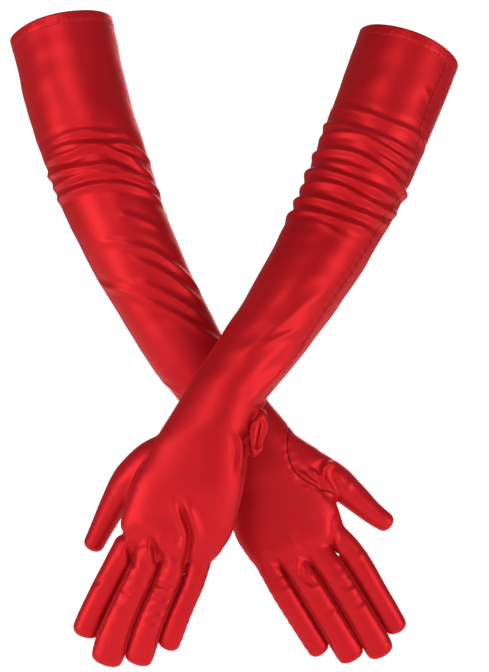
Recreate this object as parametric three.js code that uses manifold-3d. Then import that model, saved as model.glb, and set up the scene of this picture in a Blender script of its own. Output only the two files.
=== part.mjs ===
// A pair of long satin opera gloves, hollow and standing as worn, with the left forearm crossed
// over the right one. Units are millimetres. +Z is up, +X runs from the right glove's arm opening
// to the left one's, and +Y goes through a hand from its back to its palm. The origin is the
// centre of the right glove's arm opening.
import * as THREE from "three";
import { mergeVertices } from "three/addons/utils/BufferGeometryUtils.js";
import Module from "manifold-3d";

const wasm = await Module();
wasm.setup();

// Driving dimensions. A satin layer is drawn thicker than it is, so that it makes a sound solid.
const WALL = 1;
const SEWN_GAP = 0.3;
const SLEEVE_SIDES = 18;
const FINGER_SIDES = 10;
const RING_STEP = 30;
const FINGER_RING_STEP = 14;

// Distances back from the fingers' crotch, along the sleeve: each bend's centre, and half the
// length of the soft folds around it.
const ELBOW = { back: 333, half: 38, folds: 4, rise: 2.2 };
const WRIST = { back: 144, half: 14, folds: 2, rise: 0.9 };
const KNUCKLES = { back: 22, half: 12 };

// Distances along a finger from its root, which lies inside the hand.
const FINGER_BEND = { at: 36, half: 9 };
const THUMB_BEND = { at: 60, half: 8 };
const BEND_PALMWARD = 1;
const TIP_ROUND = 8;

// The turned hem at the arm opening, the elastic inside it and its line of stitches.
const HEM = { depth: 11, thick: 4.2, lip: 1 };
const ELASTIC = { from: 1.6, to: 8.4, insetFrom: 1.4, insetTo: 2.8 };
const STITCHES = { from: 8.4, to: 9.2, proudFrom: 0.3, proudTo: 0.9 };

// The overlocked seam allowance that runs down the inside of each sleeve.
const ALLOWANCE = { halfAngle: 0.075, insetFrom: 2.3, insetTo: 3.1 };

// Fourchettes: the strips let in between two fingers, up one and down the other. Their solids
// stop at the finger bends, so that the walls there stay whole.
const FOURCHETTE = { from: 3, halfAngle: 0.62, reach: 2 };

// Half width, half depth and squareness of the sleeve at distances back from the crotch.
const SLEEVE_PROFILE = [
  [0, 42, 13.5, 2.5],
  [20, 43, 15, 2.5],
  [47, 42, 17, 2.4],
  [78, 37, 19.5, 2.2],
  [115, 30, 22.5, 2],
  [135, 28.8, 23.5, 2],
  [165, 29.2, 26, 2],
  [210, 32, 30, 2],
  [265, 35.5, 34, 2],
  [305, 37.5, 36.5, 2],
  [345, 40.5, 39, 2],
  [385, 41.5, 41, 2],
  [475, 43, 42, 2],
];

// Half width and half depth at shares of a finger's length.
const FINGER_TAPER = [
  [0, 1.02, 1.02],
  [0.5, 1, 0.96],
  [0.8, 0.97, 0.88],
  [1, 0.88, 0.8],
];
const FINGER_SIZE = {
  index: [9.2, 9.6],
  middle: [10.1, 9.8],
  ring: [9.6, 9.6],
  little: [8.8, 9],
};
const THUMB_PROFILE = [
  [0, 12, 13],
  [0.2, 14.5, 14],
  [0.4, 14, 13.7],
  [0.6, 11.4, 11.5],
  [0.8, 9.6, 9.5],
  [1, 8, 8],
];

// Centrelines, from the arm opening to the crotch and from each finger's root to its tip.
const GLOVES = {
  right: {
    opening: [0, 0, 0],
    seamAngle: -0.5,
    thumbSide: 1,
    arm: [[0, 0, 0], [20, -13, -77], [53, -22, -167], [99, -29, -254], [147, -34, -323],
      [177, -40, -382], [193, -45, -426]],
    index: [[215, -44, -401], [236, -46, -422], [256, -46, -455], [275, -45, -487]],
    middle: [[201, -46, -413], [221, -49, -439], [244, -49, -474], [262, -47, -506]],
    ring: [[183, -46, -420], [200, -49, -445], [221, -48, -480], [238, -46, -510]],
    little: [[162, -44, -422], [176, -46, -447], [195, -45, -478], [212, -43, -506]],
    thumb: [[179, -36, -347], [198, -35, -352], [218, -33, -364], [236, -33, -378],
      [252, -35, -392], [269, -37, -404]],
  },
  left: {
    opening: [286, 0, -15],
    seamAngle: -0.45,
    thumbSide: -1,
    arm: [[0, 0, 0], [-29, -14, -73], [-59, -34, -141], [-104, -66, -217], [-151, -91, -284],
      [-176, -100, -347], [-194, -99, -402]],
    index: [[-224, -96, -390], [-237, -96, -416], [-254, -94, -449], [-263, -93, -468]],
    middle: [[-205, -100, -391], [-215, -101, -418], [-232, -100, -456], [-243, -98, -490]],
    ring: [[-187, -100, -396], [-193, -101, -422], [-208, -99, -456], [-218, -96, -490]],
    little: [[-166, -99, -395], [-173, -99, -421], [-185, -96, -450], [-195, -93, -479]],
    thumb: [[-188, -95, -319], [-206, -92, -330], [-223, -87, -346], [-236, -81, -365],
      [-245, -77, -382], [-256, -72, -404]],
  },
};
const FINGERS = Object.keys(FINGER_SIZE);

const SATIN = new THREE.MeshStandardMaterial({ color: 0xb5121f, roughness: 0.38, metalness: 0.15 });
const THREAD = new THREE.MeshStandardMaterial({ color: 0x9c0e1a, roughness: 0.7, metalness: 0 });
const OVERLOCK = new THREE.MeshStandardMaterial({ color: 0x8a0d18, roughness: 0.85, metalness: 0 });
const RUBBER = new THREE.MeshStandardMaterial({ color: 0xe6dcd8, roughness: 0.8, metalness: 0 });

// The rows of a table are [x, values...] in order of x; this gives the values at x, in between.
function lookUp(table, x) {
  const next = table.findIndex((row) => row[0] >= x);
  if (next === 0) return table[0].slice(1);
  if (next < 0) return table.at(-1).slice(1);
  const [low, high] = [table[next - 1], table[next]];
  const share = (x - low[0]) / (high[0] - low[0]);
  return low.slice(1).map((value, i) => THREE.MathUtils.lerp(value, high[i + 1], share));
}

// A tube of changing oval section around a smooth centreline. Places on it are a distance along
// the centreline and an angle: 0 points to +X, a quarter turn points through the palm.
class Limb {
  constructor(points, sizeAt) {
    this.path = new THREE.CatmullRomCurve3(points.map((p) => new THREE.Vector3(...p)));
    this.length = this.path.getLength();
    this.sizeAt = (s) => sizeAt(THREE.MathUtils.clamp(s, 0, this.length), this.length);
  }

  frameAt(s) {
    const share = THREE.MathUtils.clamp(s / this.length, 0, 1);
    const along = this.path.getTangentAt(share);
    const centre = this.path.getPointAt(share).addScaledVector(along, s - share * this.length);
    const palm = new THREE.Vector3(0, 1, 0).addScaledVector(along, -along.y).normalize();
    const side = new THREE.Vector3().crossVectors(along, palm);
    return { centre, along, palm, side };
  }

  // A point of the surface moved inwards by inset, or inside it where fill is under 1.
  point(s, angle, inset, fill = 1) {
    const { centre, palm, side } = this.frameAt(s);
    const [halfWidth, halfDepth, squareness = 2] = this.sizeAt(s);
    const power = 2 / squareness;
    const across = Math.sign(Math.cos(angle)) * Math.abs(Math.cos(angle)) ** power;
    const through = Math.sign(Math.sin(angle)) * Math.abs(Math.sin(angle)) ** power;
    return centre
      .addScaledVector(side, (halfWidth - inset) * fill * across)
      .addScaledVector(palm, (halfDepth - inset) * fill * through);
  }
}

// Moves a geometry's vertices by a function and gives the closed solid, faces outwards.
function bentSolid(geometry, move) {
  const position = geometry.getAttribute("position");
  const point = new THREE.Vector3();
  for (let i = 0; i < position.count; i++) {
    const moved = move(point.fromBufferAttribute(position, i));
    position.setXYZ(i, moved.x, moved.y, moved.z);
  }
  geometry.deleteAttribute("normal");
  geometry.deleteAttribute("uv");
  const merged = mergeVertices(geometry, 1e-3);
  const corners = [];
  for (let i = 0; i < merged.index.count; i += 3) {
    const [a, b, c] = merged.index.array.subarray(i, i + 3);
    if (a !== b && b !== c && c !== a) corners.push(a, b, c);
  }
  const solidOf = (order) =>
    new wasm.Manifold(
      new wasm.Mesh({
        numProp: 3,
        vertProperties: merged.attributes.position.array,
        triVerts: new Uint32Array(order),
      }),
    );
  const solid = solidOf(corners);
  return solid.volume() > 0 ? solid : solidOf(corners.reverse());
}

// The solid inside a limb between two distances. inset is in millimetres, or a function of s.
function core(limb, from, to, { inset = 0, sides = SLEEVE_SIDES, step = RING_STEP, round = 0 } = {}) {
  const insetAt = typeof inset === "function" ? inset : () => inset;
  const straight = to - round;
  const rings = Math.max(1, Math.round((straight - from) / step));
  const profile = [new THREE.Vector2(0, from)];
  for (let i = 0; i <= rings; i++) {
    profile.push(new THREE.Vector2(1, THREE.MathUtils.lerp(from, straight, i / rings)));
  }
  for (const turn of round ? [Math.PI / 6, Math.PI / 3] : []) {
    profile.push(new THREE.Vector2(Math.cos(turn), straight + round * Math.sin(turn)));
  }
  profile.push(new THREE.Vector2(0, to));
  return bentSolid(new THREE.LatheGeometry(profile, sides), (p) =>
    limb.point(p.y, Math.atan2(p.z, p.x), insetAt(p.y), Math.hypot(p.x, p.z)),
  );
}

// A length of tube with open ends, WALL thick, or one closed by a round tip at its far end.
function tube(limb, from, to, options = {}) {
  const { inset = 0, round = 0 } = options;
  const insetAt = typeof inset === "function" ? inset : () => inset;
  const hollow = core(limb, from - 1, round ? to - WALL : to + 1, {
    ...options,
    inset: (s) => insetAt(s) + WALL,
  });
  return core(limb, from, to, options).subtract(hollow);
}

// A patch of a limb's wall between two distances, two angles and two insets.
function patch(limb, [from, to], [angleFrom, angleTo], [insetFrom, insetTo], step = RING_STEP) {
  const rows = Math.max(1, Math.round((to - from) / step));
  const columns = Math.max(1, Math.round((angleTo - angleFrom) / 0.35));
  return bentSolid(new THREE.BoxGeometry(1, 1, 1, columns, rows, 1), (p) =>
    limb.point(
      THREE.MathUtils.lerp(from, to, p.y + 0.5),
      THREE.MathUtils.lerp(angleFrom, angleTo, p.x + 0.5),
      THREE.MathUtils.lerp(insetFrom, insetTo, p.z + 0.5),
    ),
  );
}

// Ridges that stand out around a bend: full rise at each crest, none at either end.
function foldInset(from, to, { folds, rise }) {
  return (s) => {
    const share = THREE.MathUtils.clamp((s - from) / (to - from), 0, 1);
    return -rise * 0.5 * (1 - Math.cos(2 * Math.PI * folds * share));
  };
}

function foldedTube(limb, from, to, bend) {
  return tube(limb, from, to, {
    inset: foldInset(from, to, bend),
    step: (to - from) / (bend.folds * 3),
  });
}

function mesh(name, solid, material) {
  const { vertProperties, triVerts, numProp } = solid.getMesh();
  const position = new Float32Array((vertProperties.length / numProp) * 3);
  for (let i = 0; i < position.length / 3; i++) {
    position.set(vertProperties.subarray(i * numProp, i * numProp + 3), i * 3);
  }
  const geometry = new THREE.BufferGeometry();
  geometry.setAttribute("position", new THREE.BufferAttribute(position, 3));
  geometry.setIndex(new THREE.BufferAttribute(new Uint32Array(triVerts), 1));
  geometry.computeVertexNormals();
  const made = new THREE.Mesh(geometry, material);
  made.name = name;
  return made;
}

// A group that turns as one body about a hinge through a limb, with its hinge kept on the group.
function body(name, limb, at, palmward = 0) {
  const group = new THREE.Group();
  group.name = name;
  if (limb) {
    const { centre, palm, side } = limb.frameAt(at);
    group.userData.hinge = { point: centre.addScaledVector(palm, palmward), axis: side };
  }
  return group;
}

function hemPieces(arm) {
  const ring = (from, to, insetFrom, insetTo) =>
    core(arm, from, to, { inset: insetFrom }).subtract(core(arm, from - 1, to + 1, { inset: insetTo }));
  const channel = ring(HEM.lip, HEM.depth + 1, HEM.lip, HEM.thick - HEM.lip);
  return {
    hem: ring(0, HEM.depth, 0, HEM.thick).subtract(channel),
    elastic: ring(ELASTIC.from, ELASTIC.to, ELASTIC.insetFrom, ELASTIC.insetTo),
    stitches: ring(STITCHES.from, STITCHES.to, -STITCHES.proudTo, -STITCHES.proudFrom),
  };
}

function allowance(arm, from, to, angle) {
  const { halfAngle, insetFrom, insetTo } = ALLOWANCE;
  return patch(arm, [from, to], [angle - halfAngle, angle + halfAngle], [insetFrom, insetTo]);
}

// The distances, angles and insets that hold one side of a fourchette, grown all round.
function fourchetteReach(facing, to, grow) {
  const { from, halfAngle, reach } = FOURCHETTE;
  const spread = halfAngle + grow / FINGER_SIZE.ring[0];
  const insets = [-reach - grow, reach + grow];
  return [[from - grow, to + grow], [facing - spread, facing + spread], insets];
}

function glove(hand, spec) {
  const named = (part) => hand + "_" + part;
  const crotch = new Limb(spec.arm, () => [0, 0]).length;
  const arm = new Limb(spec.arm, (s) => lookUp(SLEEVE_PROFILE, crotch - s));
  const fingers = Object.fromEntries(
    FINGERS.map((name) => [
      name,
      new Limb(spec[name], (s, length) =>
        lookUp(FINGER_TAPER, s / length).map((share, i) => share * FINGER_SIZE[name][i]),
      ),
    ]),
  );
  const thumb = new Limb(spec.thumb, (s, length) => lookUp(THUMB_PROFILE, s / length));
  const fine = { sides: FINGER_SIDES, step: FINGER_RING_STEP };

  // Where one sleeve piece ends and the next begins.
  const half = SEWN_GAP / 2;
  const bend = ({ back, half: reach }) => [crotch - back - reach, crotch - back + reach];
  const [elbowFrom, elbowTo] = bend(ELBOW);
  const [wristFrom, wristTo] = bend(WRIST);
  const [knucklesFrom, knucklesTo] = bend(KNUCKLES);
  const [foldsFrom, foldsTo] = [FINGER_BEND.at - FINGER_BEND.half, FINGER_BEND.at + FINGER_BEND.half];
  const [thumbFrom, thumbTo] = [THUMB_BEND.at - THUMB_BEND.half, THUMB_BEND.at + THUMB_BEND.half];

  // The fingers' shell, from the knuckles on, with a hollow that runs on into each finger.
  const handCore = (from, to, inset) => core(arm, from, to, { inset, step: FINGER_RING_STEP });
  const inHand = handCore(knucklesFrom, knucklesTo + half, -6);
  const outers = FINGERS.map((name) => core(fingers[name], 0, foldsFrom - half, fine));
  const hollows = FINGERS.map((name) => core(fingers[name], 0, foldsFrom + 1, { ...fine, inset: WALL }));
  const rootsHollow = hollows.reduce((a, b) => a.add(b), handCore(knucklesTo - 1, crotch - WALL, WALL));
  let roots = outers
    .reduce((a, b) => a.add(b), handCore(knucklesTo + half, crotch, 0))
    .subtract(inHand)
    .subtract(rootsHollow);

  const stalls = {};
  const folds = {};
  for (const name of FINGERS) {
    const finger = fingers[name];
    folds[name] = tube(finger, foldsFrom + half, foldsTo - half, fine);
    stalls[name] = tube(finger, foldsTo + half, finger.length, { ...fine, round: TIP_ROUND });
  }

  // Each fourchette is cut out of the walls that it lines. The side that faces the thumb's side
  // of the hand is at angle 0 or half a turn.
  const fourchettes = {};
  const facing = spec.thumbSide > 0 ? Math.PI : 0;
  const wallsWhole = roots;
  FINGERS.slice(0, -1).forEach((name, i) => {
    const next = FINGERS[i + 1];
    const strip = (grow) =>
      patch(fingers[name], ...fourchetteReach(facing, foldsFrom - SEWN_GAP, grow)).add(
        patch(fingers[next], ...fourchetteReach(Math.PI - facing, foldsFrom - SEWN_GAP, grow)),
      );
    fourchettes[name + "_" + next] = strip(0).intersect(wallsWhole);
    roots = roots.subtract(strip(SEWN_GAP));
  });

  // The thumb is let into a hole at the edge of the palm.
  const palmSolid = handCore(wristTo, knucklesTo, -SEWN_GAP);
  const thumbSolid = core(thumb, 0, thumb.length, { ...fine, inset: -SEWN_GAP, round: TIP_ROUND });
  const palm = tube(arm, wristTo + half, knucklesFrom - half).subtract(thumbSolid);
  const knuckleFolds = tube(arm, knucklesFrom + half, knucklesTo - half).subtract(thumbSolid);
  const gusset = tube(thumb, 0, thumbFrom - half, fine).subtract(palmSolid);

  const hem = hemPieces(arm);
  const upper = body(named("upper"));
  upper.add(
    mesh(named("top_hem"), hem.hem, SATIN),
    mesh(named("hem_elastic"), hem.elastic, RUBBER),
    mesh(named("hem_stitching"), hem.stitches, THREAD),
    mesh(named("upper_sleeve"), tube(arm, HEM.depth + SEWN_GAP, elbowFrom - half), SATIN),
    mesh(named("upper_seam"), allowance(arm, HEM.depth + 3, elbowFrom - 3, spec.seamAngle), OVERLOCK),
    mesh(named("elbow_folds"), foldedTube(arm, elbowFrom + half, elbowTo - half, ELBOW), SATIN),
  );
  const forearm = body(named("forearm"), arm, crotch - ELBOW.back);
  forearm.add(
    mesh(named("forearm_sleeve"), tube(arm, elbowTo + half, wristFrom - half), SATIN),
    mesh(named("forearm_seam"), allowance(arm, elbowTo + 3, wristFrom - 3, spec.seamAngle), OVERLOCK),
    mesh(named("wrist_folds"), foldedTube(arm, wristFrom + half, wristTo - half, WRIST), SATIN),
  );
  const palmBody = body(named("hand"), arm, crotch - WRIST.back);
  palmBody.add(
    mesh(named("palm"), palm, SATIN),
    mesh(named("knuckle_folds"), knuckleFolds, SATIN),
    mesh(named("thumb_gusset"), gusset, SATIN),
    mesh(named("thumb_folds"), tube(thumb, thumbFrom + half, thumbTo - half, fine), SATIN),
  );
  const thumbBody = body(named("thumb"), thumb, THUMB_BEND.at, BEND_PALMWARD);
  const thumbStall = tube(thumb, thumbTo + half, thumb.length, { ...fine, round: TIP_ROUND });
  thumbBody.add(mesh(named("thumb_stall"), thumbStall, SATIN));
  const knuckles = body(named("knuckles"), arm, crotch - KNUCKLES.back);
  knuckles.add(mesh(named("finger_roots"), roots, SATIN));
  for (const [pair, solid] of Object.entries(fourchettes)) {
    knuckles.add(mesh(named(pair + "_fourchette"), solid, SATIN));
  }
  for (const name of FINGERS) {
    knuckles.add(mesh(named(name + "_folds"), folds[name], SATIN));
    const tip = body(named(name), fingers[name], FINGER_BEND.at, BEND_PALMWARD);
    tip.add(mesh(named(name + "_stall"), stalls[name], SATIN));
    knuckles.add(tip);
  }
  palmBody.add(thumbBody, knuckles);
  forearm.add(palmBody);
  upper.add(forearm);
  upper.position.set(...spec.opening);
  return upper;
}

const pair = new THREE.Group();
for (const [hand, spec] of Object.entries(GLOVES)) {
  pair.add(glove(hand, spec));
}

export default pair;
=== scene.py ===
# %% [markdown]
# # A pair of red satin opera gloves
#
# The gloves stand as if worn, hollow, with the left forearm crossed in front of the right one.
# Each glove is grown from tubes of oval section that follow the CAD centrelines: one sleeve, four
# fingers and a thumb. The tubes are fused into one skin, the skin is folded, creased and grooved
# by formulas, and it is then parted into the same pieces that the CAD model has.
# Places on a sleeve are given as an angle and a distance. The angle is 0 down the back of the
# hand and positive towards +X; the distance runs from the arm opening, in millimetres.

# %% Libraries and the fixed frame
import math

import bmesh
import bpy
import numpy as np
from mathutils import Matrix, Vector


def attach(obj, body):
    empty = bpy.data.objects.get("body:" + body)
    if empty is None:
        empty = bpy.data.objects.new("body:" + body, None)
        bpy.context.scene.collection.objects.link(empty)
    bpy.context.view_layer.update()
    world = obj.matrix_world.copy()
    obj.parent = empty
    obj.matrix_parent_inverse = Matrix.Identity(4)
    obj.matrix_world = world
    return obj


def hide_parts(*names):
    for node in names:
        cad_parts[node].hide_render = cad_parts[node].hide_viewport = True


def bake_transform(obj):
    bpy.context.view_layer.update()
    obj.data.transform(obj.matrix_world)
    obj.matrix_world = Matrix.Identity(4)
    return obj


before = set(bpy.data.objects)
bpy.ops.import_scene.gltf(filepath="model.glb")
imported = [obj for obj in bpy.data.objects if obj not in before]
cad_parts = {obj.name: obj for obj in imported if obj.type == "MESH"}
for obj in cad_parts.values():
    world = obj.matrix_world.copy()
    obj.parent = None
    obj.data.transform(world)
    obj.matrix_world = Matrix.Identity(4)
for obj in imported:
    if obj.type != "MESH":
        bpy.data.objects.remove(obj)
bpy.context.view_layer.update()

# %% [markdown]
# ## Camera, lights and floor
#
# A long lens keeps the gloves free of perspective stretch. It looks level along +Y, with the
# gloves just filling the frame from top to bottom. A short lens nearer to the gloves would swell
# the hands, which are closer to it than the openings are.

# %% The camera
MM = 0.001
VIEW_CENTRE = Vector((0.1505, 0.0, -0.251))
VIEW_DISTANCE = 1.6
VIEW_HEIGHT = 0.551
FILM = 36.0

camera_data = bpy.data.cameras.new("camera")
camera_data.sensor_width = FILM
camera_data.lens = FILM * VIEW_DISTANCE / VIEW_HEIGHT
camera = bpy.data.objects.new("camera", camera_data)
camera.location = VIEW_CENTRE - Vector((0, VIEW_DISTANCE, 0))
camera.rotation_euler = (math.pi / 2, 0, 0)
bpy.context.collection.objects.link(camera)
bpy.context.scene.camera = camera
bpy.context.scene.view_settings.view_transform = "Standard"
print("lens:", round(camera_data.lens, 1), "mm")

# %% [markdown]
# Satin shows its folds only when a large bright shape is mirrored in them. Two low softboxes give
# a long highlight down each side of a sleeve, a third one from above fills the front, and a fourth
# does the same work behind. A single lamp would leave hard spots, and a plain white sky would
# make the cloth look matt.


# %% The lights
def area_light(name, place, size, watts, colour=(1, 1, 1)):
    """A square soft light at place, in metres from the view's centre, that faces the gloves."""
    data = bpy.data.lights.new(name, "AREA")
    data.size = size
    data.energy = watts
    data.color = colour
    light = bpy.data.objects.new(name, data)
    light.location = VIEW_CENTRE + Vector(place)
    light.rotation_euler = (-Vector(place)).to_track_quat("-Z", "Y").to_euler()
    bpy.context.collection.objects.link(light)
    return light


area_light("left_low_softbox", (-1.3, -1.0, -0.1), 0.9, 16)
area_light("right_low_softbox", (1.3, -1.0, -0.1), 0.9, 16)
area_light("front_fill", (-0.5, -2.0, 0.9), 0.9, 15)
area_light("back_fill", (0.5, 2.0, 0.7), 1.2, 13)

# %% The sky

world = bpy.data.worlds.new("studio")
bpy.context.scene.world = world
world.use_nodes = True
sky = world.node_tree.nodes["Background"]
sky.inputs["Color"].default_value = (1, 1, 1, 1)
sky.inputs["Strength"].default_value = 0.24
print("sky strength:", round(sky.inputs["Strength"].default_value, 2))

# %% [markdown]
# The gloves hang over a white table that glows a little, as a light table does, so that light also
# comes from below. The backdrop around it is seen, but sheds no light of its own. Both are round,
# so the floor looks the same from every side; a flat wall would be seen edge on from behind.


# %% White paper
def paper_material(name, glow):
    """Matt white paper with a faint mottle, and an even glow."""
    material = bpy.data.materials.new(name)
    material.use_nodes = True
    nodes, links = material.node_tree.nodes, material.node_tree.links
    shader = nodes["Principled BSDF"]
    shader.inputs["Roughness"].default_value = 0.9
    shader.inputs["Emission Color"].default_value = (1, 1, 1, 1)
    shader.inputs["Emission Strength"].default_value = glow
    noise = nodes.new("ShaderNodeTexNoise")
    noise.inputs["Scale"].default_value = 3
    ramp = nodes.new("ShaderNodeValToRGB")
    ramp.color_ramp.elements[0].color = (0.82, 0.82, 0.82, 1)
    ramp.color_ramp.elements[1].color = (0.86, 0.86, 0.86, 1)
    links.new(noise.outputs["Fac"], ramp.inputs["Fac"])
    links.new(ramp.outputs["Color"], shader.inputs["Base Color"])
    return material


# %% The table and the backdrop
def turned(name, radii, heights, material, around=96):
    """A surface of revolution about the view's centre: x = r cos t, y = r sin t, z = h."""
    angle = np.linspace(0, 2 * math.pi, around, endpoint=False)
    r, h = np.asarray(radii, float)[:, None], np.asarray(heights, float)[:, None]
    x = VIEW_CENTRE.x + r * np.cos(angle)
    y = r * np.sin(angle)
    points = np.stack([x, y, np.broadcast_to(h, x.shape)], -1).reshape(-1, 3)
    i, j = np.meshgrid(np.arange(len(r) - 1), np.arange(around), indexing="ij")
    k = (j + 1) % around
    near, far = i * around, (i + 1) * around
    faces = np.stack([near + j, far + j, far + k, near + k], -1)
    mesh = bpy.data.meshes.new(name)
    mesh.from_pydata(points.tolist(), [], faces.reshape(-1, 4).tolist())
    mesh.shade_smooth()
    mesh.materials.append(material)
    made = bpy.data.objects.new(name, mesh)
    bpy.context.collection.objects.link(made)
    return made


FLOOR = -0.56
TABLE_RADIUS = 1.4
SWEEP_START, SWEEP_RADIUS = 6.0, 2.0
turned("light_table", [0.001, TABLE_RADIUS], [FLOOR, FLOOR], paper_material("table_paper", 0.75))
sweep = np.linspace(0, math.pi / 2, 16)
sweep_radii = SWEEP_START + SWEEP_RADIUS * np.sin(sweep)
sweep_heights = FLOOR + SWEEP_RADIUS * (1 - np.cos(sweep))
backdrop = turned("backdrop", [TABLE_RADIUS, SWEEP_START, *sweep_radii],
                  [FLOOR, FLOOR, *sweep_heights], paper_material("wall_paper", 0.9))
backdrop.visible_diffuse = False
backdrop.visible_glossy = False
print("studio ready")

# %% [markdown]
# ## The gloves' centrelines and sizes, in millimetres
#
# A glove is cut from one pattern, so both gloves share a sleeve profile, measured back from the
# crotch of the fingers, and one size for each finger. Only the way that the arm and fingers lie
# differs. Such a shape could be pulled out of a box with subdivision surfaces. Centrelines with
# sections were chosen because a joint, a seam and a fold then all have a place in one table.
# The numbers repeat the CAD model's.

# %% Joints: distance back from the crotch, or along the limb, and half the length that bends
ELBOW, WRIST, KNUCKLES = (333, 38), (144, 14), (22, 12)
FINGER_BEND, THUMB_BEND = (36, 9), (60, 8)
MARGIN = {"elbow": 8, "wrist": 6, "knuckles": 4, "finger": 3, "thumb": 3}
print("joints:", list(MARGIN))

# %% Sections: (distance or share, half width, half depth, power)
SLEEVE_PROFILE = np.array([
    (0, 42, 13.5, 2.5), (20, 43, 15, 2.5), (47, 42, 17, 2.4), (78, 37, 19.5, 2.2),
    (115, 30, 22.5, 2), (135, 28.8, 23.5, 2), (165, 29.2, 26, 2), (210, 32, 30, 2),
    (265, 35.5, 34, 2), (305, 37.5, 36.5, 2), (345, 40.5, 39, 2), (385, 41.5, 41, 2),
    (475, 43, 42, 2),
])
FINGER_TAPER = np.array([
    (0, 1.02, 1.02, 2), (0.5, 1, 0.96, 2), (0.8, 0.97, 0.88, 2), (1, 0.88, 0.8, 2),
])
FINGER_SIZE = {"index": (9.2, 9.6), "middle": (10.1, 9.8), "ring": (9.6, 9.6), "little": (8.8, 9)}
THUMB_PROFILE = np.array([
    (0, 12, 13, 2), (0.2, 14.5, 14, 2), (0.4, 14, 13.7, 2), (0.6, 11.4, 11.5, 2),
    (0.8, 9.6, 9.5, 2), (1, 8, 8, 2),
])
print("sleeve rows:", len(SLEEVE_PROFILE))

# %% Centrelines, from the right glove's arm opening
GLOVES = {
    "right": {
        "opening": (0, 0, 0),
        "thumb_side": 1,
        "arm": [(0, 0, 0), (20, -13, -77), (53, -22, -167), (99, -29, -254), (147, -34, -323),
                (177, -40, -382), (193, -45, -426)],
        "index": [(215, -44, -401), (236, -46, -422), (256, -46, -455), (275, -45, -487)],
        "middle": [(201, -46, -413), (221, -49, -439), (244, -49, -474), (262, -47, -506)],
        "ring": [(183, -46, -420), (200, -49, -445), (221, -48, -480), (238, -46, -510)],
        "little": [(162, -44, -422), (176, -46, -447), (195, -45, -478), (212, -43, -506)],
        "thumb": [(179, -36, -347), (198, -35, -352), (218, -33, -364), (236, -33, -378),
                  (252, -35, -392), (269, -37, -404)],
    },
    "left": {
        "opening": (286, 0, -15),
        "thumb_side": -1,
        "arm": [(0, 0, 0), (-29, -14, -73), (-59, -34, -141), (-104, -66, -217), (-151, -91, -284),
                (-176, -100, -347), (-194, -99, -402)],
        "index": [(-224, -96, -390), (-237, -96, -416), (-254, -94, -449), (-263, -93, -468)],
        "middle": [(-205, -100, -391), (-215, -101, -418), (-232, -100, -456), (-243, -98, -490)],
        "ring": [(-187, -100, -396), (-193, -101, -422), (-208, -99, -456), (-218, -96, -490)],
        "little": [(-166, -99, -395), (-173, -99, -421), (-185, -96, -450), (-195, -93, -479)],
        "thumb": [(-188, -95, -319), (-206, -92, -330), (-223, -87, -346), (-236, -81, -365),
                  (-245, -77, -382), (-256, -72, -404)],
    },
}
FINGERS = list(FINGER_SIZE)
print("gloves:", list(GLOVES), "fingers:", FINGERS)


# %% Smooth curves
def spline(points, per_span=40):
    """A smooth curve through points, between b and c with a before and d after.

    2p = 2b + (c - a)t + (2a - 5b + 4c - d)t^2 + (3b - a - 3c + d)t^3, for t from 0 to 1.
    """
    p = np.asarray(points, float)
    p = np.vstack([2 * p[0] - p[1], p, 2 * p[-1] - p[-2]])
    t = np.linspace(0, 1, per_span, endpoint=False)[:, None]
    spans = []
    for a, b, c, d in zip(p, p[1:], p[2:], p[3:]):
        curve = (2 * a - 5 * b + 4 * c - d) + t * (3 * b - a - 3 * c + d)
        spans.append(b + 0.5 * t * ((c - a) + t * curve))
    return np.vstack([*spans, p[-2:-1]])


def unit(v):
    return v / np.linalg.norm(v, axis=-1, keepdims=True)


def smoothstep(x):
    """0 below 0, 1 above 1, and 3x^2 - 2x^3 between."""
    x = np.clip(x, 0, 1)
    return x * x * (3 - 2 * x)


print("points in a span of a curve:", len(spline([(0, 0), (1, 1)])))


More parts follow.
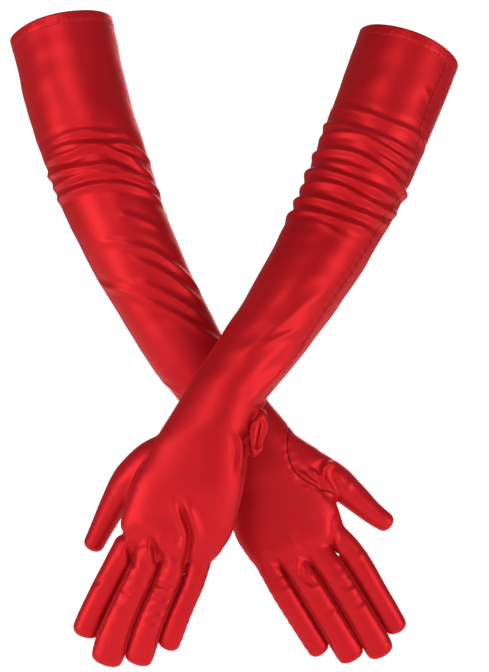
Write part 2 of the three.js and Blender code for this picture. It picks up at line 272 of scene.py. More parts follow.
# %% A limb of the glove
class Limb:
    """A centreline with an oval section: |x / a|^n + |y / b|^n = 1, with a for each side."""

    def __init__(self, points, sizes):
        raw = spline(points)
        s = np.concatenate([[0], np.cumsum(np.linalg.norm(np.diff(raw, axis=0), axis=1))])
        self.length = float(s[-1])
        self.s = np.linspace(0, self.length, int(self.length) + 1)
        self.centre = np.stack([np.interp(self.s, s, raw[:, i]) for i in range(3)], axis=1)
        self.along = unit(np.gradient(self.centre, axis=0))
        self.palm = unit(np.array([0, 1, 0]) - self.along * self.along[:, 1:2])
        self.side = np.cross(self.along, self.palm)
        self.sizes = sizes(self.s, self.length)

    def at(self, s):
        """Centre, directions and section at distances s, run on straight past both ends."""
        held = np.clip(s, 0, self.length)
        mix = [np.stack([np.interp(held, self.s, column) for column in v.T], axis=-1)
               for v in (self.centre, self.along, self.palm, self.side, self.sizes)]
        centre, along, palm, side, sizes = mix
        along, palm, side = unit(along), unit(palm), unit(side)
        return centre + along * (s - held)[..., None], along, palm, side, sizes

    def surface(self, s, angle, proud=0.0):
        """Points of the skin at angles from the back of the hand, where +90 degrees faces +X."""
        centre, _, palm, side, sizes = self.at(s)
        left, right, b, n = np.moveaxis(sizes, -1, 0)
        sine, cosine = np.sin(angle), np.cos(angle)
        a = np.where(sine > 0, right, left)
        across = np.sign(sine) * np.abs(sine) ** (2 / n) * (a + proud)
        through = -np.sign(cosine) * np.abs(cosine) ** (2 / n) * (b + proud)
        return centre + side * across[..., None] + palm * through[..., None]

    def locate(self, points):
        """For each point: distance along, angle, how far out (1 is on the skin), and radius."""
        nearest = np.empty(len(points), int)
        for start in range(0, len(points), 20000):
            some = points[start:start + 20000].astype(np.float32)
            c = self.centre.astype(np.float32)
            gap = (c ** 2).sum(1)[None] - 2 * some @ c.T
            nearest[start:start + 20000] = gap.argmin(1)
        offset = points - self.centre[nearest]
        lead = (offset * self.along[nearest]).sum(1)
        ends = ((nearest == 0) & (lead < 0)) | ((nearest == len(self.s) - 1) & (lead > 0))
        s = self.s[nearest] + np.where(ends, lead, np.clip(lead, -1, 1))
        x = (offset * self.side[nearest]).sum(1)
        y = -(offset * self.palm[nearest]).sum(1)
        left, right, b, n = self.sizes[nearest].T
        a = np.where(x > 0, right, left)
        overrun = np.where(ends, np.abs(lead) / b, 0)
        out = (np.abs(x / a) ** n + np.abs(y / b) ** n + overrun ** 2) ** (1 / n)
        return s, np.arctan2(x / a, y / b), out, (a + b) / 2


# %% Sections along each limb
def arm_sizes(crotch, thumb_side):
    """The sleeve's section at s, smoothed from a table of distances back from the crotch."""
    def sizes(s, _):
        back = crotch - s
        table = SLEEVE_PROFILE.T
        rows = np.stack([np.interp(back, table[0], column) for column in table[1:]], 1)
        window = np.hanning(25)
        window /= window.sum()
        padded = np.pad(rows, ((12, 12), (0, 0)), mode="edge")
        a, b, n = (np.convolve(padded[:, i], window, "valid") for i in range(3))
        little_side = a - 5.5 * (1 - smoothstep(back / 34))
        index_side = a - 0.8 * (1 - smoothstep(back / 14))
        sides = (little_side, index_side) if thumb_side > 0 else (index_side, little_side)
        return np.stack([*sides, b, n], 1)
    return sizes


def finger_sizes(table, wide, deep):
    """A finger's section at s: its table's shares times its own half width and half depth."""
    def sizes(s, length):
        share = s / length
        a, b, n = (np.interp(share, table[:, 0], table[:, i]) for i in (1, 2, 3))
        return np.stack([a * wide, a * wide, b * deep, n], 1)
    return sizes


def limbs_of(spec):
    """The glove's six limbs, with the places given from its arm opening moved into the frame."""
    start = np.array(spec["opening"], float)
    placed = {name: np.array(spec[name], float) + start for name in ("arm", "thumb", *FINGERS)}
    crotch = Limb(placed["arm"], lambda s, _: np.ones((len(s), 4))).length
    limbs = {"arm": Limb(placed["arm"], arm_sizes(crotch, spec["thumb_side"]))}
    for name in FINGERS:
        limbs[name] = Limb(placed[name], finger_sizes(FINGER_TAPER, *FINGER_SIZE[name]))
    limbs["thumb"] = Limb(placed["thumb"], finger_sizes(THUMB_PROFILE, 1, 1))
    return limbs


LIMBS = {hand: limbs_of(spec) for hand, spec in GLOVES.items()}
for hand, limbs in LIMBS.items():
    print(hand, {name: round(limb.length) for name, limb in limbs.items()}, "mm")

# %% [markdown]
# Neighbouring fingers rest against each other. They are remeshed a little slimmer on the sides
# that face each other, or the remesh would web them together, and are filled out again afterwards.
# Making each finger a mesh of its own would avoid that, but leave a hard join at its base.

# %% Gaps between fingers, and where along a finger they start
REMESH_GAP = 2.5
WORN_GAP = -0.7
MOST_FILL = 4.2
WEB_END = (15, 23)
FILL_START = (4, 13)
MOST_SLIM = 2.2


def room_beside(finger, neighbour):
    """The gap between two fingers' skins at each distance down the finger, held even past the end."""
    apart = np.linalg.norm(finger.centre[:, None] - neighbour.centre[None], axis=2)
    near = apart.argmin(1)
    wide = np.minimum(near, len(neighbour.s) - 12)
    gap = apart[np.arange(len(near)), near] - finger.sizes[:, 0] - neighbour.sizes[wide, 0]
    last = np.flatnonzero(near < len(neighbour.s) - 10)[-1]
    gap[last:] = gap[last]
    return gap


def slim_and_fill(limbs, thumb_side):
    """Slims the facing sides for the remesh, and keeps how wide each is in wear."""
    rooms = {}
    for number, name in enumerate(FINGERS):
        for neighbour, way in ((number - 1, thumb_side), (number + 1, -thumb_side)):
            if 0 <= neighbour < len(FINGERS):
                rooms[name, int(way > 0)] = room_beside(limbs[name], limbs[FINGERS[neighbour]])
    for name in FINGERS:
        limb = limbs[name]
        limb.worn = limb.sizes[:, :2].copy()
        for column in (0, 1):
            if (name, column) in rooms:
                room = rooms[name, column]
                past_web = smoothstep((limb.s - WEB_END[0]) / (WEB_END[1] - WEB_END[0]))
                slim = np.clip((REMESH_GAP - room) / 2, 0, MOST_SLIM) * past_web
                past_start = smoothstep((limb.s - FILL_START[0]) / (FILL_START[1] - FILL_START[0]))
                limb.worn[:, column] += np.clip((room - WORN_GAP) / 2, -1, MOST_FILL) * past_start
                limb.sizes[:, column] -= slim


for hand, limbs in LIMBS.items():
    slim_and_fill(limbs, GLOVES[hand]["thumb_side"])
    print(hand, "index half widths in wear:", limbs["index"].worn[::20].round(1).tolist())

# %% [markdown]
# ## The fused skin
#
# Stretch satin runs without a step from the sleeve into the fingers and the thumb. Six closed
# tubes are joined by a voxel remesh, and smoothed until its steps are gone. A boolean union would
# keep sharp creases where the tubes meet, and skin modifiers can't follow an oval section.

# %% How fine the skin is
VOXEL = 1.1
SMOOTH_STEPS = 9

# Short thick tubes that fill a hollow or make a slack pouch: centreline, half width, half depth.
FILLETS = {
    "right": [([(166, -37, -326), (190, -36, -340), (212, -34, -353)], 9.5, 11)],
    "left": [([(164, -97, -308), (161.5, -98, -326), (157, -98, -345)], 5.0, 8)],
}
print("extra tubes:", {hand: len(rows) for hand, rows in FILLETS.items()})


# %% One closed tube
def closed_tube(limb, start, end, round_start, round_end, around=72, step=2.5):
    """Rings of the limb's section, drawn in to a point over a quarter ellipse at each rounded end."""
    s = np.linspace(start, end, max(3, int((end - start) / step)))
    shrink = np.ones(len(s))
    for gap, radius in ((s - start, round_start), (end - s, round_end)):
        inside = np.clip(gap / radius, 0, 1) if radius else np.ones(len(s))
        shrink = shrink * np.sqrt(np.maximum(1 - (1 - inside) ** 2, 1e-4))
    angle = np.linspace(0, 2 * math.pi, around, endpoint=False)
    ring = limb.surface(np.repeat(s, around), np.tile(angle, len(s))).reshape(len(s), around, 3)
    centre = limb.at(s)[0][:, None]
    points = centre + (ring - centre) * shrink[:, None, None]
    points = np.vstack([points.reshape(-1, 3), centre[0], centre[-1]])
    i, j = np.meshgrid(np.arange(len(s) - 1), np.arange(around), indexing="ij")
    k = (j + 1) % around
    here, ahead = i * around, (i + 1) * around
    quads = np.stack([here + j, here + k, ahead + k, ahead + j], -1)
    first, last, j = len(points) - 2, len(points) - 1, np.arange(around)
    k = (j + 1) % around
    top = np.stack([np.full(around, first), k, j], 1)
    low = (len(s) - 1) * around
    bottom = np.stack([np.full(around, last), low + j, low + k], 1)
    return points, [*quads.reshape(-1, 4).tolist(), *top.tolist(), *bottom.tolist()]


# %% All the tubes in one skin
def fused_skin(hand):
    """One closed skin around all the limbs: points in millimetres, and four-sided faces."""
    limbs = LIMBS[hand]
    arm = limbs["arm"]
    tubes = [closed_tube(arm, -6, arm.length + 4, 0, 13)]
    for name in FINGERS:
        tubes.append(closed_tube(limbs[name], 0, limbs[name].length, 6, 6.5, around=40, step=1.5))
    tubes.append(closed_tube(limbs["thumb"], 0, limbs["thumb"].length, 8, 6, around=48, step=1.5))
    for points, wide, deep in FILLETS[hand]:
        fillet = Limb(points, finger_sizes(np.array([(0, 1, 1, 2), (1, 1, 1, 2)]), wide, deep))
        tubes.append(closed_tube(fillet, 0, fillet.length, deep, deep, around=40, step=1.5))
    points, faces = [], []
    for tube_points, tube_faces in tubes:
        start = sum(len(p) for p in points)
        faces += [[v + start for v in face] for face in tube_faces]
        points.append(tube_points)
    mesh = bpy.data.meshes.new("tubes")
    mesh.from_pydata((np.vstack(points) * MM).tolist(), [], faces)
    work = bpy.data.objects.new("tubes", mesh)
    bpy.context.collection.objects.link(work)
    remesh = work.modifiers.new("remesh", "REMESH")
    remesh.mode = "VOXEL"
    remesh.voxel_size = VOXEL * MM
    smooth = work.modifiers.new("smooth", "SMOOTH")
    smooth.factor = 0.6
    smooth.iterations = SMOOTH_STEPS
    done = work.evaluated_get(bpy.context.evaluated_depsgraph_get()).to_mesh()
    co = np.empty(len(done.vertices) * 3, np.float32)
    done.vertices.foreach_get("co", co)
    quads = np.empty(len(done.loops), np.int32)
    done.loops.foreach_get("vertex_index", quads)
    work.to_mesh_clear()
    bpy.data.objects.remove(work)
    return co.reshape(-1, 3).astype(float) / MM, quads.reshape(-1, 4)


SKINS = {hand: fused_skin(hand) for hand in LIMBS}
for hand, (points, quads) in SKINS.items():
    print(hand, "skin:", len(points), "points,", len(quads), "faces")

# %% [markdown]
# ## Where each point of the skin lies
#
# Folds, seams and the weave all need to know where on the glove they are. A point belongs to the
# limb on whose section it lies best. It keeps that limb's distance and angle, and its sleeve
# distance and angle as well. Unwrapping by hand would give the same, but only for one shape.


# %% The chart of a skin
class Chart:
    """The limb, distance, angle and radius of every point of one glove's skin."""

    def __init__(self, limbs, points):
        names = ["arm", *FINGERS, "thumb"]
        found = [limbs[name].locate(points) for name in names]
        out = np.abs(np.stack([f[2] for f in found], 1) - 1)
        out[:, 0] *= 0.8
        self.limb = out.argmin(1)
        self.names = names
        self.arm_s, self.arm_angle, self.arm_out, self.arm_radius = found[0]
        pick = np.arange(len(points))
        self.s, self.angle, _, self.radius = (np.stack([f[i] for f in found], 1)[pick, self.limb]
                                              for i in range(4))

    def on(self, name):
        return self.limb == self.names.index(name)


CHARTS = {hand: Chart(LIMBS[hand], SKINS[hand][0]) for hand in GLOVES}
for hand, chart in CHARTS.items():
    print(hand, {name: int(chart.on(name).sum()) for name in chart.names})

# %% [markdown]
# ## Folds
#
# A sleeve that fits a straight arm is too long for the inside of a bent one, so the spare cloth
# gathers at the elbow and drags down the forearm from there. A cloth simulation would gather it
# too, but not at chosen places. Formulas put every fold where it is wanted, the same on each run.
# A fold is a ridge with a hollow beside it. It follows a smooth line through (angle in degrees,
# distance in mm) points, and dies away at both ends. Rows are (height, half width, points).

# %% Folds of the sleeves
SLEEVE_FOLDS = {
    "left": [
        (1.3, 2.8, [(-100, 76), (-54, 77), (0, 80), (54, 76), (95, 82)]),
        (1.7, 2.6, [(-110, 88), (-72, 91), (-20, 94), (38, 93), (66, 88)]),
        (2.0, 2.8, [(-105, 103), (-60, 101), (-18, 99), (30, 101), (80, 98)]),
        (2.4, 3.0, [(-125, 116), (-70, 118), (-16, 116), (28, 119), (75, 120), (120, 117)]),
        (2.2, 3.0, [(-120, 137), (-78, 135), (-18, 138), (22, 136), (60, 131)]),
        (1.9, 3.0, [(-115, 152), (-74, 150), (-20, 147), (22, 148), (70, 139), (100, 132)]),
        (2.3, 3.2, [(-125, 162), (-72, 164), (-2, 163), (40, 156), (95, 143)]),
        (1.8, 3.6, [(-120, 180), (-70, 178), (-12, 176), (24, 170), (52, 164)]),
        (0.9, 2.6, [(-60, 127), (-20, 128), (15, 126)]),
        (1.0, 2.4, [(0, 109), (34, 110), (66, 109)]),
        (0.9, 2.6, [(14, 157), (40, 149), (70, 138)]),
        (0.9, 3.0, [(-50, 187), (-15, 184), (15, 186)]),
        (0.55, 2.4, [(30, 40), (38, 42), (46, 45)]),
        (0.75, 2.2, [(-2, 294), (8, 286), (20, 275), (36, 262)]),
        (0.7, 4.5, [(-22, 312), (-8, 296), (8, 262), (26, 238), (40, 222)]),
        (0.9, 5.0, [(46, 318), (54, 300), (58, 280), (68, 258)]),
        (0.8, 4.2, [(30, 338), (42, 326), (50, 306), (58, 292)]),
        (1.3, 2.8, [(50, 338), (66, 333), (84, 326), (105, 318), (130, 314)]),
        (1.3, 2.6, [(62, 372), (80, 362), (105, 356)]),
        (0.7, 3.2, [(-70, 200), (-58, 240), (-60, 290)]),
    ],
    "right": [
        (1.2, 2.6, [(-80, 95), (-54, 96), (-8, 97), (22, 104), (44, 110)]),
        (1.9, 2.8, [(-95, 102), (-60, 102), (-18, 104), (18, 111), (50, 119), (74, 128), (110, 134)]),
        (1.8, 2.6, [(-90, 108), (-62, 107), (-26, 109), (8, 112), (34, 123), (64, 135)]),
        (2.4, 3.0, [(-115, 114), (-72, 116), (-18, 123), (14, 129), (34, 138), (62, 151), (95, 160)]),
        (2.0, 2.8, [(-105, 125), (-66, 126), (-16, 129), (14, 136), (38, 144), (66, 156), (110, 164)]),
        (1.7, 2.8, [(-110, 136), (-72, 135), (-22, 138), (14, 144), (42, 154), (66, 164), (100, 176)]),
        (0.8, 2.4, [(-30, 117), (0, 119), (24, 126)]),
        (0.8, 2.6, [(40, 128), (60, 140), (80, 147)]),
        (0.8, 2.8, [(4, 167), (16, 173), (38, 184), (52, 192)]),
        (1.1, 2.8, [(-44, 180), (-20, 184), (-4, 191), (24, 205), (50, 224), (78, 244), (95, 256)]),
        (1.2, 2.6, [(-14, 200), (12, 214), (32, 230), (50, 246), (72, 264)]),
        (1.2, 2.8, [(-32, 216), (-2, 228), (20, 245), (40, 261), (62, 279)]),
        (1.3, 2.8, [(-95, 200), (-66, 211), (-36, 222), (-12, 239), (12, 258), (38, 280), (62, 296)]),
        (0.9, 3.4, [(20, 268), (44, 288), (70, 304)]),
        (0.8, 2.4, [(-98, 290), (-78, 300), (-54, 311), (-38, 320)]),
        (1.1, 3.0, [(-130, 330), (-80, 334), (-40, 330), (-10, 334)]),
        (0.9, 3.0, [(-120, 346), (-85, 348), (-52, 344)]),
    ],
}

print("sleeve folds:", {hand: len(rows) for hand, rows in SLEEVE_FOLDS.items()})

# %% [markdown]
# The cloth over a hand is tight, so it shows only short folds and creases: over the tendons of the
# knuckles, at the finger joints, around the thumb and as a slack pouch at the wrist. They are
# placed by (x, z) on the side that faces forwards. A negative height is a crease.

# %% Folds of the hands
FRONT_FOLDS = {
    "left": [
        (-3.0, 2.4, [(98, -370), (102, -381), (106, -393), (109, -403), (108, -413), (106, -423),
                     (103, -434)]),
        (1.0, 4.0, [(104, -372), (109, -383), (113, -394), (115, -406), (113, -420)]),
        (-1.3, 6.0, [(93, -385), (100, -398), (102, -412)]),
        (-2.2, 2.4, [(78, -403), (81, -412), (83, -419), (84, -428)]),
        (-1.5, 5.0, [(60, -397), (72, -404), (85, -408)]),
        (0.9, 3.6, [(85, -405), (90, -414), (95, -425), (98, -432)]),
        (-1.4, 2.6, [(61, -410), (63, -419), (66, -430)]),
        (-0.8, 2.0, [(80, -439), (88, -441.5), (98, -441)]),
        (-0.9, 2.0, [(78, -449), (87, -451.5), (96, -450.5)]),
        (-0.8, 2.0, [(75, -459), (84, -462), (94, -461)]),
        (-0.6, 2.0, [(73, -467), (81, -470), (90, -469)]),
        (-0.5, 2.0, [(53, -443), (61, -446), (70, -446)]),
        (0.5, 2.0, [(50, -460), (59, -456), (66, -450)]),
        (-0.4, 2.2, [(29, -445), (39, -439), (49, -437)]),
        (1.8, 2.0, [(165, -310), (159.5, -318), (156.5, -329), (158, -340), (160, -346)]),
        (1.8, 1.8, [(167, -312), (167, -322), (165, -334), (160, -346)]),
        (-2.4, 2.4, [(163, -314), (162, -325), (161, -338)]),
        (1.2, 2.2, [(143, -322), (147.5, -334), (147, -347), (145, -360)]),
        (-1.3, 3.2, [(149, -318), (153, -332), (152, -348), (149, -362)]),
    ],
    "right": [
        (2.1, 2.0, [(228, -351), (221, -352.5), (214, -355.5), (213, -362), (216, -369),
                    (221, -376), (225, -385)]),
        (1.5, 1.9, [(192, -359), (196, -361), (202, -365), (211, -370)]),
        (1.6, 1.9, [(201, -357), (205, -359.5), (210, -363.5), (215, -371), (221, -380)]),
        (-1.2, 3.0, [(219, -356), (222, -367), (229, -376)]),
        (-0.9, 2.0, [(191, -434), (196, -441), (202, -446), (210, -449)]),
        (-0.8, 1.8, [(198, -426), (195, -435), (198, -442)]),
        (-0.6, 2.0, [(223, -447), (232, -449), (241, -445)]),
        (-0.5, 2.0, [(233, -466), (241, -463), (248, -456)]),
        (-0.5, 2.2, [(207, -473), (215, -470), (222, -464)]),
        (-0.9, 3.0, [(165, -421), (173, -428), (181, -434)]),
        (1.1, 1.8, [(225, -388), (223, -397), (222.5, -406), (225, -418), (230, -430)]),
        (-0.7, 3.2, [(188, -404), (194, -414), (202, -423)]),
    ],
}


print("hand folds:", {hand: len(rows) for hand, rows in FRONT_FOLDS.items()})


# %% The height of one fold
def ridge(x, height, width):
    """A ridge between a deep hollow and a shallow one, with x in half widths and h the height.

    h (exp(-|x|^1.6) - 0.5 exp(-((x + 1.9) / 1.1)^2) - 0.25 exp(-((x - 1.9) / 1.2)^2)).
    """
    x = x / width
    hollow = 0.5 * np.exp(-((x + 1.9) / 1.1) ** 2) + 0.25 * np.exp(-((x - 1.9) / 1.2) ** 2)
    return height * (np.exp(-np.abs(x) ** 1.6) - hollow)


def fold_along(x, y, line, height, width, fade=0.24):
    """The ridge's height at flat places (x, y): the distance is taken to the line's nearest part."""
    raised = np.zeros(len(x))
    low, high = line.min(0) - 5 * width, line.max(0) + 5 * width
    near = np.flatnonzero((x > low[0]) & (x < high[0]) & (y > low[1]) & (y < high[1]))
    if not len(near):
        return raised
    x, y = x[near], y[near]
    (lx, ly), (dx, dy) = line.T, np.diff(line, axis=0).T
    t = ((x[:, None] - lx[:-1]) * dx + (y[:, None] - ly[:-1]) * dy) / (dx ** 2 + dy ** 2)
    held = np.clip(t, 0, 1)
    ex, ey = x[:, None] - lx[:-1] - held * dx, y[:, None] - ly[:-1] - held * dy
    part = (ex ** 2 + ey ** 2).argmin(1)
    pick = np.arange(len(near))
    ex, ey, held = ex[pick, part], ey[pick, part], held[pick, part]
    sign = np.sign(dx[part] * ey - dy[part] * ex)
    share = (part + held) / len(dx)
    ends = smoothstep(share / fade) * smoothstep((1 - share) / fade)
    raised[near] = ridge(sign * np.hypot(ex, ey), height, width) * ends
    return raised


# %% A fold on a limb, and a fold on the front
def chart_fold(s, angle, radius, height, width, points):
    """A fold on a limb: the flat place is (radius times angle, s)."""
    line = spline([(p[0], p[1]) for p in points], per_span=8)
    middle = math.radians(line[:, 0].mean())
    turned_angle = (angle - middle + math.pi) % (2 * math.pi) - math.pi + middle
    near = (s > line[:, 1].min() - 5 * width) & (s < line[:, 1].max() + 5 * width)
    size = radius[near].mean() if near.any() else 1
    line = np.stack([np.radians(line[:, 0]) * size, line[:, 1]], 1)
    return fold_along(turned_angle * size, s, line, height, width)


def front_fold(points, normals, height, width, line):
    """A fold on the side that faces forwards: the flat place is (x, z)."""
    facing = smoothstep(-normals[:, 1] / 0.45)
    return fold_along(points[:, 0], points[:, 2], spline(line, per_span=8), height, width, 0.3) * facing


# %% [markdown]
# The far side of each elbow, the wrist and the fingers have folds at places drawn by chance from
# a fixed seed, within ranges that stretch satin shows at those bends. Placing each one by one would
# take as long as the front did, for a side that is seen less.

# %% Folds placed by chance
def chance_folds(seed, centre, span, count, angles, height, width):
    """Rows like those above, one below the next, from the centre's start to its end."""
    rng = np.random.default_rng(seed)
    rows = []
    for place in np.linspace(centre - span, centre + span, count):
        reach = rng.uniform(*angles[1])
        middle = angles[0] + rng.uniform(-18, 18)
        tilt, sag = rng.uniform(-5, 5), rng.uniform(-4, 4)
        line = [(middle + u * reach, place + tilt * u + sag * (1 - u * u))
                for u in (-1, -0.5, 0, 0.5, 1)]
        rows.append((rng.uniform(*height), rng.uniform(*width), line))
    return rows


def slow_waves(points, seed, amplitude, wavelengths, count=14):
    """A sum of sines in random directions, so that no stretch of cloth is a perfect tube."""
    rng = np.random.default_rng(seed)
    total = np.zeros(len(points))
    for _ in range(count):
        direction = unit(rng.normal(size=3))
        length = rng.uniform(*wavelengths)
        turns = (points @ direction) / length
        total += np.sin(2 * math.pi * turns + rng.uniform(0, 2 * math.pi))
    return amplitude * total / math.sqrt(count)


def finger_folds(seed, bend):
    """Soft cross folds at a finger's middle joint: two on its palm side and one on its back."""
    rng = np.random.default_rng(seed)
    rows = []
    for side, place in ((180, bend - 3), (180, bend + 5), (0, bend + 2), (180, bend - 20)):
        middle, reach = side + rng.uniform(-15, 15), rng.uniform(55, 80)
        tilt = rng.uniform(-2.5, 2.5)
        line = [(middle + u * reach, place + tilt * u - 1.6 * (1 - u * u)) for u in (-1, -0.3, 0.3, 1)]
        rows.append((rng.uniform(0.3, 0.55), rng.uniform(2.0, 2.8), line))
    return rows


# %% All the folds together
FOLD_STRENGTH = 1.35
FRONT_STRENGTH = 1.5
LONG_WAVES, SHORT_WAVES = (0.42, (38, 90)), (0.13, (14, 26))


def fold_height(hand, chart, points, normals):
    """How far every point of a glove's skin moves out along its normal, in millimetres."""
    limbs = LIMBS[hand]
    crotch = limbs["arm"].length
    raised = np.zeros(len(points))
    sleeve = chart.on("arm")
    elbow, wrist = crotch - ELBOW[0], crotch - WRIST[0]
    rows = list(SLEEVE_FOLDS[hand])
    rows += chance_folds(3 + len(hand), elbow, 36, 8, (180, (50, 85)), (1.5, 2.8), (2.6, 3.6))
    rows += chance_folds(9 + len(hand), wrist, 16, 4, (180, (40, 70)), (0.5, 1.0), (2.2, 3.0))
    total = np.zeros(int(sleeve.sum()))
    for height, width, line in rows:
        strength = FOLD_STRENGTH if height > 1.4 else 1.0
        total += chart_fold(chart.s[sleeve], chart.angle[sleeve], chart.radius[sleeve],
                            height * strength, width, line)
    raised[sleeve] = total
    for number, name in enumerate(FINGERS + ["thumb"]):
        on = chart.on(name)
        bend = THUMB_BEND[0] if name == "thumb" else FINGER_BEND[0]
        total = np.zeros(int(on.sum()))
        for height, width, line in finger_folds(20 + number + 7 * len(hand), bend):
            total += chart_fold(chart.s[on], chart.angle[on], chart.radius[on], height, width, line)
        raised[on] = total
    for height, width, line in FRONT_FOLDS[hand]:
        raised += front_fold(points, normals, height * FRONT_STRENGTH, width, line)
    free = smoothstep((crotch - chart.arm_s) / 60) * 0.75 + 0.25
    raised += slow_waves(points, 5, *LONG_WAVES) * free
    raised += slow_waves(points, 6, *SHORT_WAVES) * free
    return raised


print("fold strengths:", FOLD_STRENGTH, FRONT_STRENGTH)

# %% [markdown]
# ## Seams
#
# A glove is closed by one side seam from the opening to the little finger's tip. The thumb is let
# in through a loop, and strips called fourchettes are let in between the fingers, to give them
# depth. Seams could be modelled as edge loops, but a remeshed skin has none along them. Each seam
# is kept as a signed distance, in millimetres, to the line where two pieces of cloth meet, and
# one number for each point then gives the groove, the puckers and the painted shade along its line.

# %% Where the seams run
SIDE_SEAM = {
    "left": [(0, 48), (31, 46), (67, 46), (85, 56), (119, 67), (135, 60), (151, 54), (203, 53),
             (239, 52), (270, 56), (300, 62), (340, 76), (370, 62), (402, 68), (430, 74), (470, 82)],
    "right": [(0, -112), (120, -106), (240, -110), (330, -104), (380, -94), (430, -88), (480, -84)],
}
THUMB_LOOP = {"right": (92, 409, 60, 30), "left": (-110, 414, 46, 38)}
STRIP_HALF_ANGLE = 0.62
STRIP_SHORT_OF_TIP = 6
STRIP_POINT = 16
STRIP_START = 15
STRIP_OPENS_OVER = 12
FAR = 1000.0
print("thumb loops:", THUMB_LOOP)


# %% The side seam
def turn_to(angle, target):
    """The smallest turn from target to angle, in radians."""
    return (angle - target + math.pi) % (2 * math.pi) - math.pi


def side_seam(hand, chart):
    """Signed distance to the side seam: radius times the turn from the seam's angle at that place."""
    table = np.array(SIDE_SEAM[hand], float)
    target = np.radians(np.interp(chart.s, table[:, 0], table[:, 1]))
    ulnar = -GLOVES[hand]["thumb_side"] * math.pi / 2
    little = chart.on("little")
    target = np.where(little, ulnar, target)
    signed = turn_to(chart.angle, target) * chart.radius
    tip = LIMBS[hand]["little"].length
    sleeve = chart.on("arm") & (chart.arm_out < 1.12)
    return np.where(sleeve | (little & (chart.s < tip - 9)), signed, FAR)


# %% The thumb's loop
def thumb_seam(hand, chart):
    """Signed distance to the thumb's loop: (r - 1) times the loop's half length, inside negative."""
    centre, place, half_angle, half_length = THUMB_LOOP[hand]
    x = np.degrees(turn_to(chart.arm_angle, math.radians(centre))) / half_angle
    y = (chart.arm_s - place) / half_length
    signed = (np.hypot(x, y) - 1) * half_length
    return np.where(chart.on("thumb"), -FAR, np.where(chart.on("arm"), signed, FAR))


# %% The strips between the fingers
def strip_seam(hand, chart):
    """Signed distance to the strips' edges, negative on a strip."""
    signed = np.full(len(chart.s), FAR)
    for number, name in enumerate(FINGERS):
        on = chart.on(name)
        thumbwards = GLOVES[hand]["thumb_side"] * math.pi / 2
        for neighbour, facing in ((number - 1, thumbwards), (number + 1, -thumbwards)):
            if not 0 <= neighbour < len(FINGERS):
                continue
            left = (LIMBS[hand][name].length - STRIP_SHORT_OF_TIP - chart.s) / STRIP_POINT
            grown = np.clip((chart.s - STRIP_START) / STRIP_OPENS_OVER, 0, 1)
            half = STRIP_HALF_ANGLE * np.sqrt(np.clip(left, 0, 1) * grown)
            aside = (np.abs(turn_to(chart.angle, facing)) - half) * chart.radius
            aside = np.where(left < 0, np.maximum(aside, -left * STRIP_POINT), aside)
            aside = np.maximum(aside, STRIP_START - chart.s)
            signed = np.where(on, np.minimum(signed, aside), signed)
    return signed


SEAMS = {
    hand: {
        "seam_side": side_seam(hand, chart),
        "seam_thumb": thumb_seam(hand, chart),
        "seam_strip": strip_seam(hand, chart),
    }
    for hand, chart in CHARTS.items()
}
print("seams:", list(SEAMS["left"]))


# %% [markdown]
# A seam draws the cloth in, and it puckers: the groove's depth swings along the seam. A bump in the
# material alone would look flat along the outline, so the groove is cut into the mesh.

# %% The seams' grooves
def seam_groove(seams, chart):
    """A groove with rippled shoulders: -(0.5 + pucker) exp(-(d / 1.1)^2) + 0.15 exp(-(d / 3.2)^2)."""
    total = np.zeros(len(chart.s))
    for number, distance in enumerate(seams.values()):
        pucker = 0.2 * np.sin(chart.s * (1.3 + 0.2 * number))
        pucker = pucker + 0.12 * np.sin(chart.s * 0.57 + number)
        d = np.clip(distance, -50, 50)
        total += -(0.5 + pucker) * np.exp(-(d / 1.1) ** 2) + 0.15 * np.exp(-(d / 3.2) ** 2)
        ripple = 0.16 if number < 2 else 0.06
        total += ripple * np.sin(chart.s * 0.84 + number) * np.exp(-(d / 4.5) ** 2)
    return total


# %% Normals and smoothing
def point_normals(points, quads):
    """Unit normals at points, each the sum of its faces' cross products of diagonals."""
    a, b, c, d = (points[quads[:, i]] for i in range(4))
    face = np.cross(c - a, d - b)
    total = np.zeros_like(points)
    for i in range(4):
        np.add.at(total, quads[:, i], face)
    return unit(total)


def eased(values, quads, steps):
    """Each value moved half way to the mean of its face neighbours, steps times."""
    for _ in range(steps):
        total, count = np.zeros_like(values), np.zeros(len(values))
        mean = values[quads].mean(1)
        for i in range(4):
            np.add.at(total, quads[:, i], mean)
            np.add.at(count, quads[:, i], 1)
        values = 0.5 * values + 0.5 * total / count.reshape(-1, *[1] * (values.ndim - 1))
    return values


# %% The fingers' width in wear, and the cloth that bridges their bases
def filled_out(hand, points, chart):
    """Each finger's slimmed sides stretched back to their width in wear: x' = x times worn / slim."""
    moved = points.copy()
    for name in FINGERS:
        on = chart.on(name)
        limb = LIMBS[hand][name]
        centre, _, _, side, _ = limb.at(chart.s[on])
        x = ((points[on] - centre) * side).sum(1)
        s = np.clip(chart.s[on], 0, limb.length)
        widening = limb.worn / limb.sizes[:, :2]
        left, right = (np.interp(s, limb.s, column) for column in widening.T)
        near_centre = smoothstep(np.abs(x) / 2)
        ratio = np.where(x > 0, right, left)
        moved[on] += side * (x * (ratio - 1) * near_centre)[:, None]
    return moved


def softened_webs(hand, points, quads, chart):
    """The bases of the fingers eased into the palm, as cloth bridges them."""
    end = LIMBS[hand]["arm"].length
    mask = smoothstep((chart.arm_s - (end - 26)) / 14) * smoothstep((end + 17 - chart.arm_s) / 9)
    thumb = chart.on("thumb") | (np.abs(SEAMS[hand]["seam_thumb"]) < 60)
    base = smoothstep((30 - np.where(chart.on("thumb"), chart.s, 0)) / 12) * thumb * 0.8
    mask = np.maximum(mask, base * smoothstep((end - 10 - chart.arm_s) / 12))
    return points + (eased(points, quads, 26) - points) * mask[:, None] * 0.9


